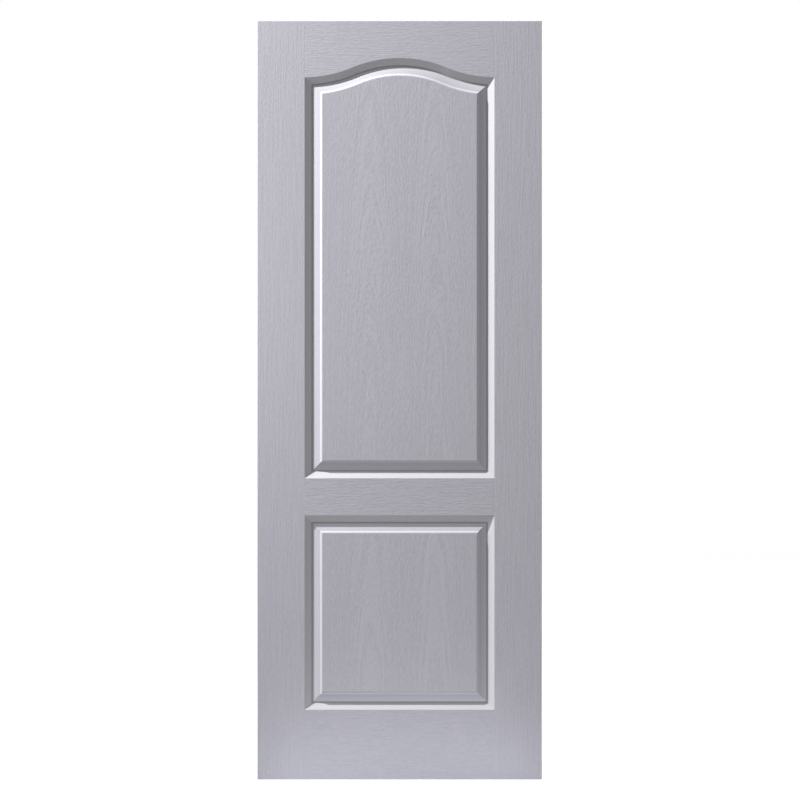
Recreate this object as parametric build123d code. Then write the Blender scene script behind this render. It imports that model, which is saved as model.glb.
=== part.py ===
# Moulded two-panel door leaf with an arched upper panel.
# Two pressed fibreboard skins are glued over a softwood frame, with lock blocks at both
# edges and paper honeycomb behind the panel fields.
# Millimetres, +Z up, front face towards -Y. The origin is at the foot of the hinge edge,
# in the middle of the thickness.
import os
from math import acos, atan, ceil, cos, floor, hypot, sin, sqrt, tan

from build123d import *

# Leaf
leaf_width = 762.0
leaf_height = 2032.0
leaf_thickness = 35.0
skin_thickness = 3.2
skin_arris = 1.0

# Softwood frame inside the skins
stile_width = 32.0
top_rail_height = 45.0
bottom_rail_height = 70.0
lock_block_width = 70.0
lock_block_height = 600.0
lock_block_centre = 1000.0

# Panels pressed into the skins: borders are measured to the moulding's outer edge
panel_border = 127.0
bottom_border = 187.0
lower_panel_height = 520.0
lock_rail_height = 100.0
arch_crest_drop = 100.0
arch_rise = 51.5

# Moulding profile, from its outer edge inwards, and the radii that soften its corners
sticking_width = 18.0
groove_depth = 8.2
groove_floor = 3.0
bevel_width = 20.0
bevel_rise = 5.4
lip_width = 5.0
edge_radius = 1.6
groove_radius = 2.4
lip_foot_radius = 8.0
lip_radius = 8.0
round_steps = 3

# Paper honeycomb
core_cell = 56.0
core_paper = 0.7
core_margin = 8.0

half_thickness = leaf_thickness / 2
cavity_thickness = leaf_thickness - 2 * skin_thickness
half_cavity = cavity_thickness / 2
moulding_width = sticking_width + groove_floor + bevel_width + lip_width

# Panel edges in the leaf: left, right, bottom and the height of the square shoulders
panel_left = panel_border
panel_right = leaf_width - panel_border
lower_panel_bottom = bottom_border
lower_panel_top = lower_panel_bottom + lower_panel_height
upper_panel_bottom = lower_panel_top + lock_rail_height
upper_panel_shoulder = leaf_height - arch_crest_drop - arch_rise


def square_outline(bottom, top, inset, y):
    # Rectangle, moved in by the inset on every side.
    left, right = panel_left + inset, panel_right - inset
    low, high = bottom + inset, top - inset
    corners = [(left, y, low), (right, y, low), (right, y, high), (left, y, high)]
    return Wire.make_polygon([Vector(*corner) for corner in corners], close=True)


def arched_outline(bottom, shoulder, inset, y):
    # The arch is two equal arcs a side, level at the shoulder and at the crest. Its arcs stay
    # concentric as the outline moves in, so shoulders grow by the inset and the crown shrinks.
    middle = (panel_left + panel_right) / 2
    half_span = (panel_right - panel_left) / 2
    turn = 2 * atan(arch_rise / half_span)
    arch_radius = half_span / (2 * sin(turn))
    shoulder_centre = shoulder + arch_radius
    crown_centre = shoulder + arch_rise - arch_radius
    shoulder_radius = arch_radius + inset
    crown_radius = arch_radius - inset

    def shoulder_point(across):
        # Point of the left shoulder arc, at a distance across from the panel's left edge.
        height = shoulder_centre - sqrt(shoulder_radius**2 - across**2)
        return Vector(panel_left + across, y, height)

    def flipped(point):
        return Vector(2 * middle - point.X, y, point.Z)

    corner = shoulder_point(inset)
    inflection = shoulder_point(shoulder_radius * sin(turn))
    between = shoulder_point((inset + shoulder_radius * sin(turn)) / 2)
    crest = Vector(middle, y, crown_centre + crown_radius)
    low_left = Vector(panel_left + inset, y, bottom + inset)
    return Wire(
        [
            Edge.make_line(low_left, flipped(low_left)),
            Edge.make_line(flipped(low_left), flipped(corner)),
            Edge.make_three_point_arc(flipped(corner), flipped(between), flipped(inflection)),
            Edge.make_three_point_arc(flipped(inflection), crest, inflection),
            Edge.make_three_point_arc(inflection, between, corner),
            Edge.make_line(corner, low_left),
        ]
    )


def upper_outline(inset, y):
    return arched_outline(upper_panel_bottom, upper_panel_shoulder, inset, y)


def lower_outline(inset, y):
    return square_outline(lower_panel_bottom, lower_panel_top, inset, y)


def moulding_profile():
    # Inset and depth of the profile's corners on the show face.
    groove_start = sticking_width
    groove_end = groove_start + groove_floor
    bevel_end = groove_end + bevel_width
    return [
        (0.0, 0.0),
        (groove_start, groove_depth),
        (groove_end, groove_depth),
        (bevel_end, groove_depth - bevel_rise),
        (moulding_width, 0.0),
    ]


def corner_runs(profile):
    # Each corner of the profile with the unit directions of the runs into it and out of it.
    # The face is level before the first corner and after the last.
    level = [(profile[0][0] - 1, profile[0][1])] + profile + [(profile[-1][0] + 1, profile[-1][1])]
    runs = []
    for start, end in zip(level, level[1:]):
        length = hypot(end[0] - start[0], end[1] - start[1])
        runs.append(((end[0] - start[0]) / length, (end[1] - start[1]) / length))
    return zip(profile, runs, runs[1:])


def behind_profile(profile, thickness):
    # The same profile, moved square to itself by the skin's thickness, for its hidden face.
    moved = []
    for (inset, depth), run_in, run_out in corner_runs(profile):
        share = 1 + run_in[0] * run_out[0] + run_in[1] * run_out[1]
        across = -(run_in[1] + run_out[1]) / share
        down = (run_in[0] + run_out[0]) / share
        moved.append((inset + thickness * across, depth + thickness * down))
    return moved


def rounded_profile(profile, radii):
    # Each corner becomes an arc of its own radius, tangent to both runs, in short equal chords.
    points = []
    for ((inset, depth), run_in, run_out), radius in zip(corner_runs(profile), radii):
        turn = acos(run_in[0] * run_out[0] + run_in[1] * run_out[1])
        setback = radius * tan(turn / 2)
        for step in range(round_steps + 1):
            swept = turn * step / round_steps
            # Distances from the arc's start, along the run into the corner and towards the run out.
            along = radius * (sin(swept) - (1 - cos(swept)) / tan(turn)) - setback
            out = radius * (1 - cos(swept)) / sin(turn)
            points.append(
                (
                    inset + along * run_in[0] + out * run_out[0],
                    depth + along * run_in[1] + out * run_out[1],
                )
            )
    return points


def moulding_ring(outline, profile):
    # Space between the level of the profile's ends and the profile itself, round one panel:
    # a pocket with sloping sides, less the raised panel that stands in it.
    stations = [outline(inset, depth - half_thickness) for inset, depth in profile]
    floor_middle = sticking_width + groove_floor / 2
    outer_count = sum(inset < floor_middle for inset, depth in profile)
    pocket = Solid.make_loft(stations[:outer_count], ruled=True)
    raised = Solid.make_loft(stations[outer_count:], ruled=True)
    return pocket - raised


def front_skin():
    sheet = Pos(leaf_width / 2, skin_thickness / 2 - half_thickness, leaf_height / 2) * Box(
        leaf_width, skin_thickness, leaf_height
    )
    show_face = sheet.faces().sort_by(Axis.Y)[0]
    skin = chamfer(show_face.edges(), skin_arris)
    corners = moulding_profile()
    radii = [edge_radius, groove_radius, groove_radius, lip_foot_radius, lip_radius]
    for outline in (upper_outline, lower_outline):
        skin = skin + moulding_ring(outline, behind_profile(corners, skin_thickness))
        skin = skin - moulding_ring(outline, rounded_profile(corners, radii))
    return skin


def timber(left, right, bottom, top):
    # Straight piece of the frame, filling the space between the skins.
    middle = Pos((left + right) / 2, 0, (bottom + top) / 2)
    return middle * Box(right - left, cavity_thickness, top - bottom)


def honeycomb(left, right, bottom, top):
    # Pad of whole hexagonal cells, cut square from a paper core and centred in the room it has.
    # Its cells are open towards the skins.
    row_step = core_cell * sqrt(3) / 2
    rows = floor((top - bottom) / row_step)
    columns = floor((right - left) / core_cell)
    cell = RegularPolygon((core_cell - core_paper) / 2, 6, major_radius=False, rotation=30)
    row_reach = ceil(rows / 2) + 1
    column_reach = ceil(columns / 2) + 1
    cells = [
        Pos((column + row % 2 / 2) * core_cell, row * row_step) * cell
        for row in range(-row_reach, row_reach + 1)
        for column in range(-column_reach, column_reach + 1)
    ]
    walls = Rectangle(columns * core_cell, rows * row_step) - cells
    behind = Plane(((left + right) / 2, half_cavity, (bottom + top) / 2), (1, 0, 0), (0, -1, 0))
    return extrude(behind * walls, amount=cavity_thickness)


left_stile = timber(0, stile_width, 0, leaf_height)
right_stile = timber(leaf_width - stile_width, leaf_width, 0, leaf_height)
top_rail = timber(stile_width, leaf_width - stile_width, leaf_height - top_rail_height, leaf_height)
bottom_rail = timber(stile_width, leaf_width - stile_width, 0, bottom_rail_height)

block_bottom = lock_block_centre - lock_block_height / 2
block_top = lock_block_centre + lock_block_height / 2
left_lock_block = timber(stile_width, stile_width + lock_block_width, block_bottom, block_top)
right_lock_block = timber(
    leaf_width - stile_width - lock_block_width, leaf_width - stile_width, block_bottom, block_top
)

core_inset = moulding_width + core_margin
core_left = panel_left + core_inset
core_right = panel_right - core_inset
upper_core = honeycomb(
    core_left, core_right, upper_panel_bottom + core_inset, upper_panel_shoulder - core_inset
)
lower_core = honeycomb(
    core_left, core_right, lower_panel_bottom + core_inset, lower_panel_top - core_inset
)

front = front_skin()
back = mirror(front, about=Plane.XZ)

pieces = {
    "front_skin": front,
    "back_skin": back,
    "left_stile": left_stile,
    "right_stile": right_stile,
    "top_rail": top_rail,
    "bottom_rail": bottom_rail,
    "left_lock_block": left_lock_block,
    "right_lock_block": right_lock_block,
    "upper_honeycomb": upper_core,
    "lower_honeycomb": lower_core,
}

os.makedirs("parts", exist_ok=True)
for node, shape in pieces.items():
    export_step(shape, f"parts/{node}.step")
    print(node, round(shape.volume), "mm3")
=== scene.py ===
# Looks of a moulded two-panel door leaf: primed skins with an embossed grain, edges and core.
import math

import bpy
import numpy as np
from mathutils import Matrix, Vector


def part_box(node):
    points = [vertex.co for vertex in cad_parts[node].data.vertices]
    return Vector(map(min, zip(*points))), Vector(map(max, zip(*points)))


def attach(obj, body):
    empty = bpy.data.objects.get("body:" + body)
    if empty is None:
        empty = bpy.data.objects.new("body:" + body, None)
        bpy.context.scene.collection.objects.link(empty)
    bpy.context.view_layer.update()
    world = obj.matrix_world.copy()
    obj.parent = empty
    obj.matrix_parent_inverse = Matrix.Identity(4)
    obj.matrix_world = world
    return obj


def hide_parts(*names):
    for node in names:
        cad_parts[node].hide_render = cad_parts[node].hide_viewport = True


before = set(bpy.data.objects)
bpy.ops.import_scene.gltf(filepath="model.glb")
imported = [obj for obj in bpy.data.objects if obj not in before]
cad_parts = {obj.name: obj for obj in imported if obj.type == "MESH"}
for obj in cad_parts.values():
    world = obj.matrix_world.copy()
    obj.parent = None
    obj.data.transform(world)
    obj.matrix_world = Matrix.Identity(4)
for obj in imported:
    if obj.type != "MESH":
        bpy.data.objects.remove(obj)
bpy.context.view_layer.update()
print("frame loaded:", len(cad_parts), "nodes")

# Shapes are in metres, and the finishes' patterns in millimetres. Sizes that the frame knows come from it.
mm = 1000.0  # millimetres in a metre
skinLow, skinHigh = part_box("front_skin")
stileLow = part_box("left_stile")[0]

leaf = {
    "width": skinHigh.x - skinLow.x,
    "height": skinHigh.z - skinLow.z,
    "faceY": skinLow.y,  # show face of the front skin
    "skin": stileLow.y - skinLow.y,  # thickness of the sheet
    "arris": 0.001,  # eased edge round the show face
    "arrisSteps": 3,
}

panels = {
    "border": 0.127,  # from the leaf's edge to the moulding
    "lowerBottom": 0.187,
    "lowerTop": 0.707,
    "upperBottom": 0.807,
    "crestDrop": 0.100,  # from the leaf's top to the crest of the arch
    "archRise": 0.0515,
    "across": 72,  # points along the top and bottom of a panel
    "up": 40,  # points along its sides
}

moulding = {
    "sticking": 0.018,  # slope down from the face
    "floor": 0.003,
    "bevel": 0.020,
    "bevelRise": 0.0054,
    "lip": 0.005,
    "radii": (0.0016, 0.0024, 0.0024, 0.008, 0.008),
    "steps": 6,  # chords in each rounded corner
    "guard": 0.001,  # level row on either side, so that the flats beside it shade flat
    "crease": 14.0,  # degrees, above which an edge stays crisp, as the mitres do
}
moulding["depth"] = skinHigh.y - skinLow.y - leaf["skin"]
moulding["width"] = moulding["sticking"] + moulding["floor"] + moulding["bevel"] + moulding["lip"]


def profileCorners():
    # Inset from the panel's edge and depth below the face, at each corner of the profile.
    grooveEnd = moulding["sticking"] + moulding["floor"]
    bevelEnd = grooveEnd + moulding["bevel"]
    bevelTop = moulding["depth"] - moulding["bevelRise"]
    insets = [0.0, moulding["sticking"], grooveEnd, bevelEnd, moulding["width"]]
    depths = [0.0, moulding["depth"], moulding["depth"], bevelTop, 0.0]
    return np.array([insets, depths]).T


def cornerRuns(corners):
    # Unit directions into and out of each corner; the face is level before the first and after the last.
    ends = np.array([[moulding["guard"], 0.0]])
    level = np.concatenate([corners[:1] - ends, corners, corners[-1:] + ends])
    runs = np.diff(level, axis=0)
    runs = runs / np.linalg.norm(runs, axis=1, keepdims=True)
    return runs[:-1], runs[1:]


def roundedProfile():
    # Every corner is an arc tangent to both runs: from the arc's start, r sin(a) along the run in and
    # r (1 - cos(a)) square to it, for angles a from nothing to the whole turn.
    corners = profileCorners()
    runIn, runOut = cornerRuns(corners)
    cross = runIn[:, 0] * runOut[:, 1] - runIn[:, 1] * runOut[:, 0]
    turn = np.arcsin(cross)[:, None]
    radius = np.array(moulding["radii"])[:, None]
    angle = np.abs(turn) * np.linspace(0, 1, moulding["steps"] + 1)[None, :]
    along = radius * (np.sin(angle) - np.tan(np.abs(turn) / 2))
    square = radius * (1 - np.cos(angle)) * np.sign(turn)
    normal = np.stack([-runIn[:, 1], runIn[:, 0]], axis=1)
    points = corners[:, None, :] + along[..., None] * runIn[:, None, :]
    points = points + square[..., None] * normal[:, None, :]
    points = points.reshape(-1, 2)
    level = np.array([[moulding["guard"], 0.0]])
    return np.concatenate([points[:1] - level, points, points[-1:] + level])


def hiddenProfile():
    # The corners moved square to the profile by the skin's thickness, mitred.
    corners = profileCorners()
    runIn, runOut = cornerRuns(corners)
    share = 1 + (runIn * runOut).sum(axis=1)
    across = -(runIn[:, 1] + runOut[:, 1]) / share
    down = (runIn[:, 0] + runOut[:, 0]) / share
    return corners + leaf["skin"] * np.stack([across, down], axis=1)


def panelSides(zone):
    # Left, right, bottom and top of a panel's outer edge; the arch counts from its shoulders.
    left = panels["border"]
    right = leaf["width"] - panels["border"]
    if zone == "lower":
        return left, right, panels["lowerBottom"], panels["lowerTop"]
    shoulder = leaf["height"] - panels["crestDrop"] - panels["archRise"]
    return left, right, panels["upperBottom"], shoulder


def panelTop(zone, x, inset):
    # A square panel's top is level. The arch is a shoulder arc about a centre above each top corner and
    # a crown arc about a centre below the crest; they stay concentric as the edge moves in.
    left, right, _, shoulder = panelSides(zone)
    if zone == "lower":
        return np.zeros_like(x) + shoulder - inset
    middle = (left + right) / 2
    halfSpan = (right - left) / 2
    turn = 2 * math.atan(panels["archRise"] / halfSpan)
    radius = halfSpan / (2 * math.sin(turn))
    fromMiddle = np.abs(x - middle)
    fromCorner = halfSpan - fromMiddle
    crownCentre = shoulder + panels["archRise"] - radius
    crown = crownCentre + np.sqrt(np.maximum((radius - inset) ** 2 - fromMiddle**2, 0))
    side = shoulder + radius - np.sqrt(np.maximum((radius + inset) ** 2 - fromCorner**2, 0))
    return np.where(fromMiddle < (radius - inset) * math.sin(turn), crown, side)


def shares(count):
    # Even steps from 0 that stop short of 1, where the next side starts.
    return np.arange(count) / count


def panelLoop(zone, inset):
    # Once round the panel at an inset: along the bottom, up the right, back over the top, down the left.
    left, right, low, _ = panelSides(zone)
    inset = np.atleast_1d(inset)[:, None]
    across = shares(panels["across"])[None, :]
    up = shares(panels["up"])[None, :]
    xLeft = left + inset
    xRight = right - inset
    zLow = low + inset
    corner = panelTop(zone, xLeft, inset)
    topX = xRight + (xLeft - xRight) * across
    topZ = panelTop(zone, topX, inset)
    x = [xLeft + (xRight - xLeft) * across, xRight + 0 * up, topX, xLeft + 0 * up]
    z = [zLow + 0 * across, zLow + (corner - zLow) * up, topZ, corner + (zLow - corner) * up]
    return np.concatenate(x, axis=1), np.concatenate(z, axis=1)


def zoneLoop(zone, margin):
    # The same walk round the half of the leaf that holds the panel, inside its outer edges by a margin.
    split = (panels["lowerTop"] + panels["upperBottom"]) / 2
    low, high = (margin, split) if zone == "lower" else (split, leaf["height"] - margin)
    across = shares(panels["across"])
    up = shares(panels["up"])
    left = margin
    right = leaf["width"] - margin
    x = [left + (right - left) * across, right + 0 * up, right + (left - right) * across, left + 0 * up]
    z = [low + 0 * across, low + (high - low) * up, high + 0 * across, high + (low - high) * up]
    return np.concatenate(x)[None, :], np.concatenate(z)[None, :]


def gridFaces(rows, columns, closed):
    # Quads of a grid of points numbered row by row; a closed grid joins its last column to its first.
    reach = columns if closed else columns - 1
    row, column = np.meshgrid(np.arange(rows - 1), np.arange(reach), indexing="ij")
    after = (column + 1) % columns
    near = row * columns
    far = near + columns
    return np.stack([near + column, near + after, far + after, far + column], axis=-1)


def fieldGrid(zone, inset, depth):
    # Flat field inside the moulding: straight across, and from its bottom edge up to its top edge.
    # The last value of each point is its distance from the nearest side of the panel.
    left, right, low, _ = panelSides(zone)
    across = np.linspace(0, 1, panels["across"] + 1)[None, :]
    up = np.linspace(0, 1, panels["up"] + 1)[:, None]
    x = left + inset + (right - left - 2 * inset) * across + 0 * up
    z = low + inset + (panelTop(zone, x, inset) - low - inset) * up
    fromSides = np.minimum(x - left, right - x)
    fromEnds = np.minimum(z - low, panelTop(zone, x, 0.0) - z)
    return np.stack([x, np.full_like(x, depth), z, np.minimum(fromSides, fromEnds)], axis=-1)


def zoneSurface(zone, profile, edge):
    # One half of a skin's face: rows run from the leaf's edge over the flat border, down and up the
    # moulding, and the field fills the middle. Gives points with their insets, and quads.
    xs, zs, depths, insets = [], [], [], []
    for margin, depth in edge:
        x, z = zoneLoop(zone, margin)
        xs.append(x)
        zs.append(z)
        depths.append(np.full_like(x, depth))
        insets.append(np.full_like(x, -panels["border"]))
    x, z = panelLoop(zone, profile[:, 0])
    xs.append(x)
    zs.append(z)
    depths.append(np.broadcast_to(profile[:, 1:], x.shape))
    insets.append(np.broadcast_to(profile[:, :1], x.shape))
    x = np.concatenate(xs)
    z = np.concatenate(zs)
    ring = np.stack([x, np.concatenate(depths), z, np.concatenate(insets)], axis=-1)
    rows, columns = x.shape
    faces = gridFaces(rows, columns, True)
    # The two halves meet along a straight line: no edge strip there.
    first = 0 if zone == "upper" else panels["across"] + panels["up"]
    inner = np.ones(faces.shape[:2], bool)
    inner[: len(edge) - 1, first:first + panels["across"]] = False
    field = fieldGrid(zone, profile[-1, 0], profile[-1, 1])
    fieldFaces = gridFaces(*field.shape[:2], False).reshape(-1, 4) + rows * columns
    points = np.concatenate([ring.reshape(-1, 4), field.reshape(-1, 4)])
    return points, np.concatenate([faces[inner], fieldFaces])


def weld(points, faces):
    # Points at one place become one point; those that no face uses are dropped.
    used, faces = np.unique(faces, return_inverse=True)
    points = points[used]
    key = np.round(points[:, :3], 7)
    _, first, same = np.unique(key, axis=0, return_index=True, return_inverse=True)
    return points[first], same.ravel()[faces.reshape(-1, 4)]


def makeSkin(name, side):
    # Show face and hidden face of one pressed sheet; side is -1 for the front and 1 for the back.
    # The show face's edge is a quarter circle: inset r (1 - sin(a)) and depth r (1 - cos(a)).
    arris = leaf["arris"]
    turn = np.linspace(0, math.pi / 2, leaf["arrisSteps"] + 1)
    eased = [(arris * (1 - math.sin(a)), arris * (1 - math.cos(a))) for a in turn[::-1]]
    hiddenEdge = [(0.0, leaf["skin"])]
    sheet = ((roundedProfile(), hiddenEdge + eased, False), (hiddenProfile(), hiddenEdge, True))
    pointSets, faceSets, start = [], [], 0
    for zone in ("lower", "upper"):
        for profile, edge, flip in sheet:
            points, faces = zoneSurface(zone, profile, edge)
            faceSets.append((faces[:, ::-1] if flip else faces) + start)
            pointSets.append(points)
            start += len(points)
    points, faces = weld(np.concatenate(pointSets), np.concatenate(faceSets))
    place = points[:, :3].copy()
    place[:, 1] = side * (-leaf["faceY"] - points[:, 1])
    mesh = bpy.data.meshes.new(name)
    mesh.from_pydata(place, [], (faces if side < 0 else faces[:, ::-1]).tolist())
    inset = mesh.attributes.new("inset", "FLOAT", "POINT")
    inset.data.foreach_set("value", points[:, 3].astype(np.float32))
    mesh.polygons.foreach_set("use_smooth", np.ones(len(faces), bool))
    mesh.set_sharp_from_angle(angle=math.radians(moulding["crease"]))
    mesh.update()
    skin = bpy.data.objects.new(name, mesh)
    bpy.context.scene.collection.objects.link(skin)
    return skin


# Node helpers: each takes numbers or sockets and gives the socket of its result

def feed(tree, socket, value):
    if isinstance(value, bpy.types.NodeSocket):
        tree.links.new(value, socket)
    else:
        socket.default_value = value


def calc(tree, operation, *values):
    node = tree.nodes.new("ShaderNodeMath")
    node.operation = operation
    for socket, value in zip(node.inputs, values):
        feed(tree, socket, value)
    return node.outputs[0]


def plus(tree, first, second):
    return calc(tree, "ADD", first, second)


def minus(tree, first, second):
    return calc(tree, "SUBTRACT", first, second)


def times(tree, first, second):
    return calc(tree, "MULTIPLY", first, second)


def over(tree, first, second):
    return calc(tree, "DIVIDE", first, second)


def stretch(tree, value, low, high, toLow=0.0, toHigh=1.0):
    # Smooth step from one value to another while the input goes from low to high.
    node = tree.nodes.new("ShaderNodeMapRange")
    node.interpolation_type = "SMOOTHSTEP"
    for socket, item in zip(node.inputs, (value, low, high, toLow, toHigh)):
        feed(tree, socket, item)
    return node.outputs[0]


def fade(tree, value, low, high):
    # The other way: whole up to low, and nothing from high on.
    return stretch(tree, value, low, high, 1.0, 0.0)


def blendValue(tree, share, first, second):
    node = tree.nodes.new("ShaderNodeMix")
    feed(tree, node.inputs[0], share)
    feed(tree, node.inputs[2], first)
    feed(tree, node.inputs[3], second)
    return node.outputs[0]


def blendColour(tree, share, first, second):
    node = tree.nodes.new("ShaderNodeMix")
    node.data_type = "RGBA"
    feed(tree, node.inputs[0], share)
    feed(tree, node.inputs[6], first)
    feed(tree, node.inputs[7], second)
    return node.outputs[2]


def solid(colour, tone=1.0):
    return (*(tone * part for part in colour), 1)


def noise(tree, x, y, z, detail):
    # Noise about one unit wide. A plain number for one of the places only picks a slice of it.
    join = tree.nodes.new("ShaderNodeCombineXYZ")
    for socket, value in zip(join.inputs, (x, y, z)):
        feed(tree, socket, value)
    node = tree.nodes.new("ShaderNodeTexNoise")
    tree.links.new(join.outputs[0], node.inputs["Vector"])
    node.inputs["Scale"].default_value = 1.0
    node.inputs["Detail"].default_value = detail
    node.inputs["Roughness"].default_value = 0.5
    return node.outputs[0]


def startMaterial(name, colour, roughness, specular):
    # A new material with its shader and the place on the piece in millimetres.
    material = bpy.data.materials.new(name)
    material.use_nodes = True
    tree = material.node_tree
    shader = tree.nodes["Principled BSDF"]
    shader.inputs["Base Color"].default_value = solid(colour)
    shader.inputs["Roughness"].default_value = roughness
    shader.inputs["Specular IOR Level"].default_value = specular
    where = tree.nodes.new("ShaderNodeTexCoord")
    split = tree.nodes.new("ShaderNodeSeparateXYZ")
    tree.links.new(where.outputs["Object"], split.inputs[0])
    place = [times(tree, axis, mm) for axis in split.outputs]
    return material, tree, shader, place


def bump(tree, shader, height, depth):
    node = tree.nodes.new("ShaderNodeBump")
    node.inputs["Strength"].default_value = 1.0
    node.inputs["Distance"].default_value = depth
    tree.links.new(height, node.inputs["Height"])
    tree.links.new(node.outputs[0], shader.inputs["Normal"])


grain = {
    "embossing": 0.0002,  # depth of the pressed grain, metres; the lengths below are mm
    "fieldFade": 3.0,  # width over which the field's grain starts inside the moulding
    "borderFade": (-1.5, 0.5),  # and over which the border's ends at it
    "mouldingDepth": 0.08,  # what is left of it on the moulding
    "sway": (160.0, 260.0),  # width and height of the grain's slow wander
    "plainSway": 12.0,  # how far it goes in rails and stiles
    "figureSway": (30.0, 14.0),  # and in the fields' flame figures, sideways and in depth
    "figures": ((-76.0, 83.0), (97.0, 78.0)),  # centre from the leaf's middle, radius of the rings at the top
    "figureLean": -0.05,  # how fast the rings close down the board, so that the arches point up
    "figureMerge": 8.0,  # softness of the seam between the figures
    "figureReach": (20.0, 62.0),  # bands are strong this near a figure's heart line, and weak beyond
    "figureFade": (560.0, 820.0),  # distance below the head over which the figures fade out
    "figureLeft": 0.3,  # share of them that is left there
    "arc": (0.3, 3.2),  # thin nested arcs at the heart line and the clusters that they come in
    "arcEdge": (0.40, 0.62),  # levels of the noise between which an arc, and a cluster, rises
    "clusterEdge": (0.42, 0.58),
    "arcReach": (3.0, 13.0),
    "arcShare": 0.34,
    "band": (4.4, 320.0),  # width and length of the bands in the fields
    "railBand": 70.0,  # length of the bands in the rails and in the stiles
    "stileBand": 150.0,
    "bandEdge": (0.34, 0.66),
    "bandShare": (0.2, 0.56),  # away from the figures and at them
    "plainShare": (0.34, 0.42),  # in rails and in stiles
    "streak": (3.2, 13.0, 9.0),  # width, length, and reach sideways where the rings turn over
    "railStreak": 18.0,
    "streakEdge": (0.36, 0.64),
    "streakShare": 0.36,
    "pore": (0.9, 12.0, 5.0),
    "poreEdge": (0.56, 0.70),
    "poreShare": 0.2,
    "railDepth": (0.82, 1.18, 1.08),  # relief of the grain in the rails against the fields, from the foot up
    "stileDepth": 0.87,
    "footDepth": 1.2,  # at the leaf's foot, easing off upwards by the next value a metre
    "easing": 0.12,
    "butt": (0.2, 1.4),  # half width of the fine line where rail meets stile, at its floor and its rim
    "buttDepth": 0.5,
}


def flameFigures(tree, fromMiddle, down, wander):
    # Distance from a slanting heart line behind the face, so that the rings round it cut the face as tall
    # arches. Gives the rings, how near the figures are, and the thin arcs at their hearts.
    rings, figured, arcs = None, 0.0, 0.0
    swayAcross, swayDeep = grain["figureSway"]
    for centre, firstRing in grain["figures"]:
        side = minus(tree, fromMiddle, centre)
        side = plus(tree, side, times(tree, wander, swayAcross))
        heart = calc(tree, "MULTIPLY_ADD", down, grain["figureLean"], firstRing)
        heart = plus(tree, heart, times(tree, wander, swayDeep))
        ring = plus(tree, times(tree, side, side), times(tree, heart, heart))
        ring = calc(tree, "SQRT", ring)
        rings = ring if rings is None else calc(tree, "SMOOTH_MIN", rings, ring, grain["figureMerge"])
        side = calc(tree, "ABSOLUTE", side)
        figured = calc(tree, "MAXIMUM", figured, fade(tree, side, *grain["figureReach"]))
        cluster = noise(tree, over(tree, ring, grain["arc"][1]), 6.0, 3.0, detail=0.0)
        cluster = stretch(tree, cluster, *grain["clusterEdge"])
        arc = noise(tree, over(tree, ring, grain["arc"][0]), 1.0, 5.0, detail=0.0)
        arc = times(tree, stretch(tree, arc, *grain["arcEdge"]), cluster)
        arc = times(tree, arc, fade(tree, side, *grain["arcReach"]))
        arcs = calc(tree, "MAXIMUM", arcs, arc)
    return rings, figured, arcs


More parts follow.
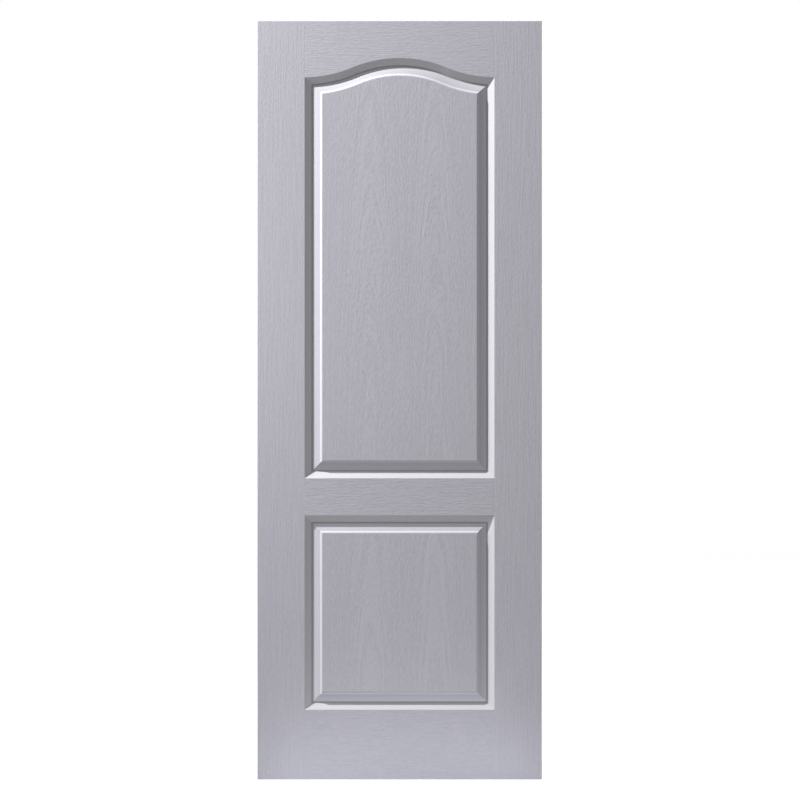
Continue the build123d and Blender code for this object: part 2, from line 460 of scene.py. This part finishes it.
def grainRelief(tree, x, z, inset):
    # Relief of the grain from 0 to about 1, the share of it that shows, and the height for the bump.
    width = moulding["width"] * mm
    field = stretch(tree, inset, width, width + grain["fieldFade"])
    border = fade(tree, inset, *grain["borderFade"])
    fromMiddle = minus(tree, x, leaf["width"] * mm / 2)
    offMiddle = calc(tree, "ABSOLUTE", fromMiddle)
    stileLine = (leaf["width"] / 2 - panels["border"]) * mm
    stile = calc(tree, "GREATER_THAN", offMiddle, stileLine)
    swayWide, swayHigh = grain["sway"]
    wander = noise(tree, over(tree, x, swayWide), 3.0, over(tree, z, swayHigh), detail=2.0)
    wander = minus(tree, wander, 0.5)
    # The figures start again at the rail between the panels
    split = (panels["lowerTop"] + panels["upperBottom"]) / 2 * mm
    head = leaf["height"] * mm
    down = calc(tree, "WRAP", minus(tree, head, z), head - split, 0.0)
    rings, figured, arcs = flameFigures(tree, fromMiddle, down, wander)
    # Across and along the grain: fields follow the rings, stiles stand, rails lie
    plainX = plus(tree, x, times(tree, wander, grain["plainSway"]))
    plainZ = plus(tree, z, times(tree, wander, grain["plainSway"]))
    across = blendValue(tree, stile, plainZ, plainX)
    across = blendValue(tree, field, across, rings)
    along = blendValue(tree, stile, x, z)
    along = blendValue(tree, field, along, z)
    sideways = times(tree, x, field)
    bandWide, fieldBand = grain["band"]
    bandLength = blendValue(tree, stile, grain["railBand"], grain["stileBand"])
    bandLength = blendValue(tree, field, bandLength, fieldBand)
    bands = noise(tree, over(tree, across, bandWide), over(tree, along, bandLength), 1.0, detail=2.0)
    bands = stretch(tree, bands, *grain["bandEdge"])
    streakWide, streakLong, streakSide = grain["streak"]
    upright = calc(tree, "MAXIMUM", field, stile)
    streakLength = blendValue(tree, upright, grain["railStreak"], streakLong)
    streaks = noise(tree, over(tree, across, streakWide), over(tree, along, streakLength),
                    over(tree, sideways, streakSide), detail=1.0)
    streaks = stretch(tree, streaks, *grain["streakEdge"])
    poreWide, poreLong, poreSide = grain["pore"]
    pores = noise(tree, over(tree, across, poreWide), over(tree, along, poreLong),
                  over(tree, sideways, poreSide), detail=1.0)
    pores = stretch(tree, pores, *grain["poreEdge"])
    left = stretch(tree, down, *grain["figureFade"], 1.0, grain["figureLeft"])
    figured = times(tree, times(tree, figured, field), left)
    arcs = times(tree, times(tree, arcs, field), left)
    plainShare = blendValue(tree, stile, *grain["plainShare"])
    fieldShare = blendValue(tree, figured, *grain["bandShare"])
    bandShare = blendValue(tree, field, plainShare, fieldShare)
    relief = calc(tree, "MULTIPLY_ADD", bands, bandShare, times(tree, streaks, grain["streakShare"]))
    relief = calc(tree, "MULTIPLY_ADD", arcs, grain["arcShare"], relief)
    relief = minus(tree, relief, times(tree, pores, grain["poreShare"]))
    shown = calc(tree, "MAXIMUM", field, border)
    shown = calc(tree, "MULTIPLY_ADD", shown, 1 - grain["mouldingDepth"], grain["mouldingDepth"])
    # Each rail, the stiles and the fields have their own depth
    footRail, lockRail, topRail = grain["railDepth"]
    aboveFoot = calc(tree, "GREATER_THAN", z, panels["lowerBottom"] * mm)
    aboveLock = calc(tree, "GREATER_THAN", z, panels["upperBottom"] * mm)
    depth = blendValue(tree, aboveFoot, footRail, lockRail)
    depth = blendValue(tree, aboveLock, depth, topRail)
    depth = blendValue(tree, stile, depth, grain["stileDepth"])
    depth = blendValue(tree, field, depth, 1.0)
    eased = calc(tree, "MULTIPLY_ADD", z, -grain["easing"] / mm, grain["footDepth"])
    depth = times(tree, depth, eased)
    height = times(tree, times(tree, relief, depth), shown)
    butt = calc(tree, "ABSOLUTE", minus(tree, offMiddle, stileLine))
    butt = times(tree, fade(tree, butt, *grain["butt"]), border)
    height = minus(tree, height, times(tree, butt, grain["buttDepth"]))
    return relief, shown, height


primer = {
    "colour": (0.445, 0.436, 0.486),
    "roughness": 0.48,
    "specular": 0.4,
    "cloud": (210.0, 330.0),  # width and height of slow changes from spray passes, mm
    "cloudTone": (0.99, 1.06),  # the primer's tone at their two ends
    "cloudRoughness": (-0.04, 0.05),
    "cloudEdge": (0.3, 0.7),
    "thinning": 0.945,  # the primer's tone in the grain's hollows, which end at the next value's relief
    "hollow": 0.6,
    # Painted light and shade on the moulding: the sticking slope, bevel and lip are painted paler than the
    # grained flats, and the groove darker. Fades are in mm from the edges named.
    "sticking": (0.508, 0.502, 0.537),
    "stickingStart": (0.0, 1.0),  # from the moulding's outer edge
    "stickingEnd": (-2.0, 4.0),  # from the slope's foot
    # painted light: the bevel paler than the flats
    "bevel": (0.510, 0.501, 0.546),
    "bevelStart": (-1.0, 3.0),  # from the bevel's foot
    "bevelEnd": (2.0, -6.0),  # from its foot and from the moulding's inner edge
    "paintedGrooveShade": (0.285, 0.277, 0.272),  # painted shade: the primer darker along the groove, where shade falls
    "paintedGrooveShadeFade": (0.5, 3.4),  # from the groove's middle
    # painted highlight: the lip paler than the bevel, as if catching the light
    "lip": (0.535, 0.530, 0.566),
    "paintedLipHighlightFade": (0.5, 3.5),  # from the lip's middle
}


def primerColour(tree, cloud, inset, relief, shown):
    # Spray passes, then the grain's hollows, then painted light and shade on the moulding from its outer edge
    # inwards.
    low, high = primer["cloudTone"]
    colour = blendColour(tree, cloud, solid(primer["colour"], low), solid(primer["colour"], high))
    hollows = times(tree, fade(tree, relief, 0.0, primer["hollow"]), shown)
    colour = blendColour(tree, hollows, colour, solid(primer["colour"], primer["thinning"]))
    slopeFoot = moulding["sticking"] * mm
    bevelFoot = slopeFoot + moulding["floor"] * mm
    width = moulding["width"] * mm
    # Painted light: the sticking slope is paler than the flats.
    start, end = primer["stickingEnd"]
    paintedSlopeLight = times(tree, stretch(tree, inset, *primer["stickingStart"]),
                  fade(tree, inset, slopeFoot + start, slopeFoot + end))
    colour = blendColour(tree, paintedSlopeLight, colour, solid(primer["sticking"]))
    # Painted light: the bevel is paler than the flats.
    start, end = primer["bevelStart"]
    bevel = stretch(tree, inset, bevelFoot + start, bevelFoot + end)
    start, end = primer["bevelEnd"]
    bevel = times(tree, bevel, fade(tree, inset, bevelFoot + start, width + end))
    colour = blendColour(tree, bevel, colour, solid(primer["bevel"]))
    # Painted shade: the groove's middle is darker, where shade falls in the hollow.
    paintedGrooveShade = calc(tree, "ABSOLUTE", minus(tree, inset, (slopeFoot + bevelFoot) / 2))
    paintedGrooveShade = fade(tree, paintedGrooveShade, *primer["paintedGrooveShadeFade"])
    colour = blendColour(tree, paintedGrooveShade, colour, solid(primer["paintedGrooveShade"]))
    # Painted highlight: the lip is paler, as if catching the light.
    lip = calc(tree, "ABSOLUTE", minus(tree, inset, width - moulding["lip"] * mm / 2))
    lip = fade(tree, lip, *primer["paintedLipHighlightFade"])
    return blendColour(tree, lip, colour, solid(primer["lip"]))


def primedGrain():
    material, tree, shader, (x, y, z) = startMaterial(
        "primedGrain", primer["colour"], primer["roughness"], primer["specular"])
    attribute = tree.nodes.new("ShaderNodeAttribute")
    attribute.attribute_name = "inset"
    inset = times(tree, attribute.outputs["Fac"], mm)
    relief, shown, height = grainRelief(tree, x, z, inset)
    bump(tree, shader, height, grain["embossing"])
    wide, high = primer["cloud"]
    cloud = noise(tree, over(tree, x, wide), over(tree, y, wide), over(tree, z, high), detail=3.0)
    colour = primerColour(tree, cloud, inset, relief, shown)
    tree.links.new(colour, shader.inputs["Base Color"])
    smooth, rough = primer["cloudRoughness"]
    roughness = stretch(tree, cloud, *primer["cloudEdge"],
                        primer["roughness"] + smooth, primer["roughness"] + rough)
    tree.links.new(roughness, shader.inputs["Roughness"])
    return material


edgePaint = {
    "colour": (0.405, 0.392, 0.430),
    "wood": (0.40, 0.33, 0.26),  # the softwood's tint, which shows faintly along the growth rings
    "woodShows": 0.22,
    "roughness": 0.55,
    "specular": 0.35,
    "sway": (300.0, 40.0, 22.0),  # length and width of the rings' wander, and how far it goes, mm
    "ring": (2.6, 420.0),  # width and length of the rings, and of the pores
    "ringEdge": (0.35, 0.68),
    "pore": (0.6, 12.0),
    "relief": 0.00012,  # metres
    "reliefShare": (0.6, 0.4),  # of rings and of pores
}


def primedEdge(name, alongAxis):
    # Thin primer over planed softwood: growth rings telegraph through, along the piece.
    material, tree, shader, place = startMaterial(
        name, edgePaint["colour"], edgePaint["roughness"], edgePaint["specular"])
    along = place[alongAxis]
    thick = place[1]
    other = place[2 - alongAxis]
    swayLong, swayWide, sway = edgePaint["sway"]
    wander = noise(tree, over(tree, along, swayLong), over(tree, thick, swayWide), 2.0, detail=2.0)
    across = plus(tree, plus(tree, thick, other), times(tree, wander, sway))
    ringWide, ringLong = edgePaint["ring"]
    rings = noise(tree, over(tree, across, ringWide), over(tree, along, ringLong), 4.0, detail=2.0)
    rings = stretch(tree, rings, *edgePaint["ringEdge"])
    poreWide, poreLong = edgePaint["pore"]
    pores = noise(tree, over(tree, across, poreWide), over(tree, along, poreLong), 8.0, detail=1.0)
    ringShare, poreShare = edgePaint["reliefShare"]
    height = plus(tree, times(tree, rings, ringShare), times(tree, pores, poreShare))
    bump(tree, shader, height, edgePaint["relief"])
    shows = times(tree, rings, edgePaint["woodShows"])
    colour = blendColour(tree, shows, solid(edgePaint["colour"]), solid(edgePaint["wood"]))
    tree.links.new(colour, shader.inputs["Base Color"])
    return material


softwood = {
    "pale": (0.62, 0.43, 0.24),
    "dark": (0.42, 0.25, 0.12),
    "roughness": 0.6,
    "specular": 0.3,
    "sway": (40.0, 300.0, 24.0),  # width and length of the rings' wander, and how far it goes, mm
    "ring": (3.0, 500.0),
    "ringEdge": (0.35, 0.7),
    "relief": 0.0001,  # metres
}


def bareSoftwood():
    material, tree, shader, (x, y, z) = startMaterial(
        "bareSoftwood", softwood["pale"], softwood["roughness"], softwood["specular"])
    swayWide, swayLong, sway = softwood["sway"]
    wander = noise(tree, over(tree, x, swayWide), over(tree, y, swayWide),
                   over(tree, z, swayLong), detail=2.0)
    across = plus(tree, plus(tree, x, y), times(tree, wander, sway))
    ringWide, ringLong = softwood["ring"]
    rings = noise(tree, over(tree, across, ringWide), over(tree, z, ringLong), 1.0, detail=2.0)
    rings = stretch(tree, rings, *softwood["ringEdge"])
    colour = blendColour(tree, rings, solid(softwood["pale"]), solid(softwood["dark"]))
    tree.links.new(colour, shader.inputs["Base Color"])
    bump(tree, shader, rings, softwood["relief"])
    return material


kraft = {
    "pale": (0.46, 0.31, 0.18),
    "dark": (0.36, 0.23, 0.12),
    "roughness": 0.8,
    "specular": 0.2,
    "fibre": (3.0, 1.2),  # along the sheet and across it, mm
    "relief": 0.00005,  # metres
}


def kraftPaper():
    material, tree, shader, (x, y, z) = startMaterial(
        "kraftPaper", kraft["pale"], kraft["roughness"], kraft["specular"])
    long, wide = kraft["fibre"]
    fibre = noise(tree, over(tree, x, long), over(tree, y, wide), over(tree, z, long), detail=3.0)
    colour = blendColour(tree, fibre, solid(kraft["pale"]), solid(kraft["dark"]))
    tree.links.new(colour, shader.inputs["Base Color"])
    bump(tree, shader, fibre, kraft["relief"])
    return material


def paint(piece, material):
    piece.data.materials.clear()
    piece.data.materials.append(material)


skinPaint = primedGrain()
skins = []
for node, side in (("front_skin", -1), ("back_skin", 1)):
    skin = makeSkin(node.replace("_", "-") + "-pressed", side)
    paint(skin, skinPaint)
    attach(skin, "root")
    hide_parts(node)
    skins.append(skin)
    print("pressed skin:", skin.name, len(skin.data.polygons), "faces")

standing = primedEdge("primedEdgeStanding", 2)
lying = primedEdge("primedEdgeLying", 0)
timber = bareSoftwood()
paper = kraftPaper()
finishes = {
    "left_stile": standing,
    "right_stile": standing,
    "top_rail": lying,
    "bottom_rail": lying,
    "left_lock_block": timber,
    "right_lock_block": timber,
    "upper_honeycomb": paper,
    "lower_honeycomb": paper,
}
for node, material in finishes.items():
    paint(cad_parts[node], material)
print("finishes on", len(finishes), "nodes")


# Lamps, room, floor and camera

# The low key that brings out the front's relief would burn the leaf's narrow edges out, so these have a
# dimmer lamp in the same place.
lit = {"skins": bpy.data.collections.new("litSkins"), "frame": bpy.data.collections.new("litFrame")}
for skin in skins:
    lit["skins"].objects.link(skin)
for node in finishes:
    lit["frame"].objects.link(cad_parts[node])

# Turn goes from the left towards up, and rise off the face, both in degrees. Size is along the face and
# off it.
fullSpread = 180.0
plainWhite = (1.0, 1.0, 1.0)
lamps = {
    "front": {
        "key": {"turn": 53.5, "rise": 8.9, "distance": 4.3, "aimHeight": 1.016,
                "watts": 450.0, "size": (0.35, 0.10), "lights": "skins"},
        "near": {"turn": 20.0, "rise": 10.0, "distance": 1.7, "aimHeight": 0.86,
                 "watts": 3.9, "size": (0.8, 0.3), "spread": 95.0, "lights": "skins"},
        "edges": {"turn": 53.5, "rise": 8.9, "distance": 4.3, "aimHeight": 1.016,
                  "watts": 138.0, "size": (0.35, 0.10), "lights": "frame"},
    },
    "back": {
        "key": {"turn": 50.0, "rise": 16.0, "distance": 4.0, "aimHeight": 1.016,
                "watts": 240.0, "size": (0.5, 0.2)},
    },
    "both": {
        "fill": {"turn": 0.0, "rise": 89.0, "distance": 5.0, "aimHeight": 1.016,
                 "watts": 36.0, "size": (2.0, 2.0)},
        "under": {"turn": -90.0, "rise": 37.0, "distance": 0.35, "aimHeight": 0.1,
                  "watts": 0.46, "size": (0.75, 0.08), "spread": 80.0, "tint": (0.9, 0.94, 1.03)},
    },
}


def addLamp(name, side, turn, rise, distance, aimHeight, watts, size,
            spread=fullSpread, tint=plainWhite, lights="all"):
    # Lamps stand round the face that they light: side -1 is the front, and 1 the back, half a turn about
    # the upright.
    data = bpy.data.lights.new(name, "AREA")
    data.shape = "RECTANGLE"
    data.size, data.size_y = size
    data.spread = math.radians(spread)
    data.energy = watts
    data.color = tint
    lamp = bpy.data.objects.new(name, data)
    bpy.context.scene.collection.objects.link(lamp)
    a = math.radians(turn)
    e = math.radians(rise)
    out = Vector((side * math.cos(a) * math.cos(e), side * math.sin(e), math.sin(a) * math.cos(e)))
    level = Vector((0, side, 0)).cross(out).normalized()  # along the face
    turned = Matrix((level, out.cross(level), out)).transposed().to_4x4()
    target = Vector((leaf["width"] / 2, 0, aimHeight))
    lamp.matrix_world = Matrix.Translation(target + distance * out) @ turned
    if lights in lit:
        lamp.light_linking.receiver_collection = lit[lights]


for word, side in (("front", -1), ("back", 1)):
    for name, settings in {**lamps[word], **lamps["both"]}.items():
        addLamp(f"{word}-{name}", side, **settings)


studio = {
    "world": 0.198,  # soft light from all round
    "floorHalf": 9.0,
    "floorGlow": 0.95,  # with the lamps' light on it, white to the camera
    "floorColour": 0.14,
}


def seenDirectly(tree):
    # 1 where the background is looked at, in a mirror or through glass too, and 0 where it only lights.
    path = tree.nodes.new("ShaderNodeLightPath")
    seen = calc(tree, "MAXIMUM", path.outputs["Is Camera Ray"], path.outputs["Is Glossy Ray"])
    return calc(tree, "MAXIMUM", seen, path.outputs["Is Transmission Ray"])


def whiteRoom():
    # White to the camera and in mirrors, a plain soft level to everything else.
    world = bpy.data.worlds.new("whiteRoom")
    bpy.context.scene.world = world
    world.use_nodes = True
    tree = world.node_tree
    light = tree.nodes["Background"]
    light.inputs["Color"].default_value = solid(plainWhite)
    strength = blendValue(tree, seenDirectly(tree), studio["world"], 1.0)
    tree.links.new(strength, light.inputs["Strength"])


def paleFloor():
    # Square floor under the leaf: its own glow makes it white to the camera, and its paint keeps the shadow.
    corner = np.array([[-1, -1], [1, -1], [1, 1], [-1, 1]]) * studio["floorHalf"]
    points = np.column_stack([corner[:, 0] + leaf["width"] / 2, corner[:, 1], np.zeros(4)])
    mesh = bpy.data.meshes.new("floor")
    mesh.from_pydata(points, [], [(0, 1, 2, 3)])
    floor = bpy.data.objects.new("floor", mesh)
    bpy.context.scene.collection.objects.link(floor)
    material = bpy.data.materials.new("paleFloor")
    material.use_nodes = True
    tree = material.node_tree
    shader = tree.nodes["Principled BSDF"]
    shader.inputs["Base Color"].default_value = solid(plainWhite, studio["floorColour"])
    shader.inputs["Roughness"].default_value = 1.0
    shader.inputs["Specular IOR Level"].default_value = 0.0
    shader.inputs["Emission Color"].default_value = solid(plainWhite)
    glow = times(tree, seenDirectly(tree), studio["floorGlow"])
    tree.links.new(glow, shader.inputs["Emission Strength"])
    material.cycles.emission_sampling = "NONE"  # its glow is for the eye only, so it isn't sampled as a lamp
    mesh.materials.append(material)
    floor.visible_shadow = False  # light from under the foot still reaches the leaf
    lit["skins"].objects.link(floor)  # the key's light on the floor comes back up to the leaf's foot


whiteRoom()
paleFloor()
print("studio ready")

view = {
    "lens": 100.0,
    "sensor": 36.0,
    "frame": 800,  # pixels each way
    "leafPixels": 758.8,  # height of the leaf in the frame
    "offCentre": (-0.4, -0.18),  # pixels right and up from the middle of the frame
}


def placeCamera():
    # Square to the face, as far off as makes the leaf the wanted height in the frame.
    scene = bpy.context.scene
    data = bpy.data.cameras.new("camera")
    data.lens = view["lens"]
    data.sensor_width = view["sensor"]
    data.sensor_fit = "HORIZONTAL"
    camera = bpy.data.objects.new("camera", data)
    scene.collection.objects.link(camera)
    scene.camera = camera
    perPixel = leaf["height"] / view["leafPixels"]
    distance = view["frame"] * perPixel * view["lens"] / view["sensor"]
    right, up = view["offCentre"]
    camera.location = (leaf["width"] / 2 - right * perPixel, leaf["faceY"] - distance,
                       leaf["height"] / 2 - up * perPixel)
    camera.rotation_euler = (math.pi / 2, 0, 0)
    scene.view_settings.view_transform = "Standard"
    print("camera", round(distance, 2), "m from the face")


placeCamera()
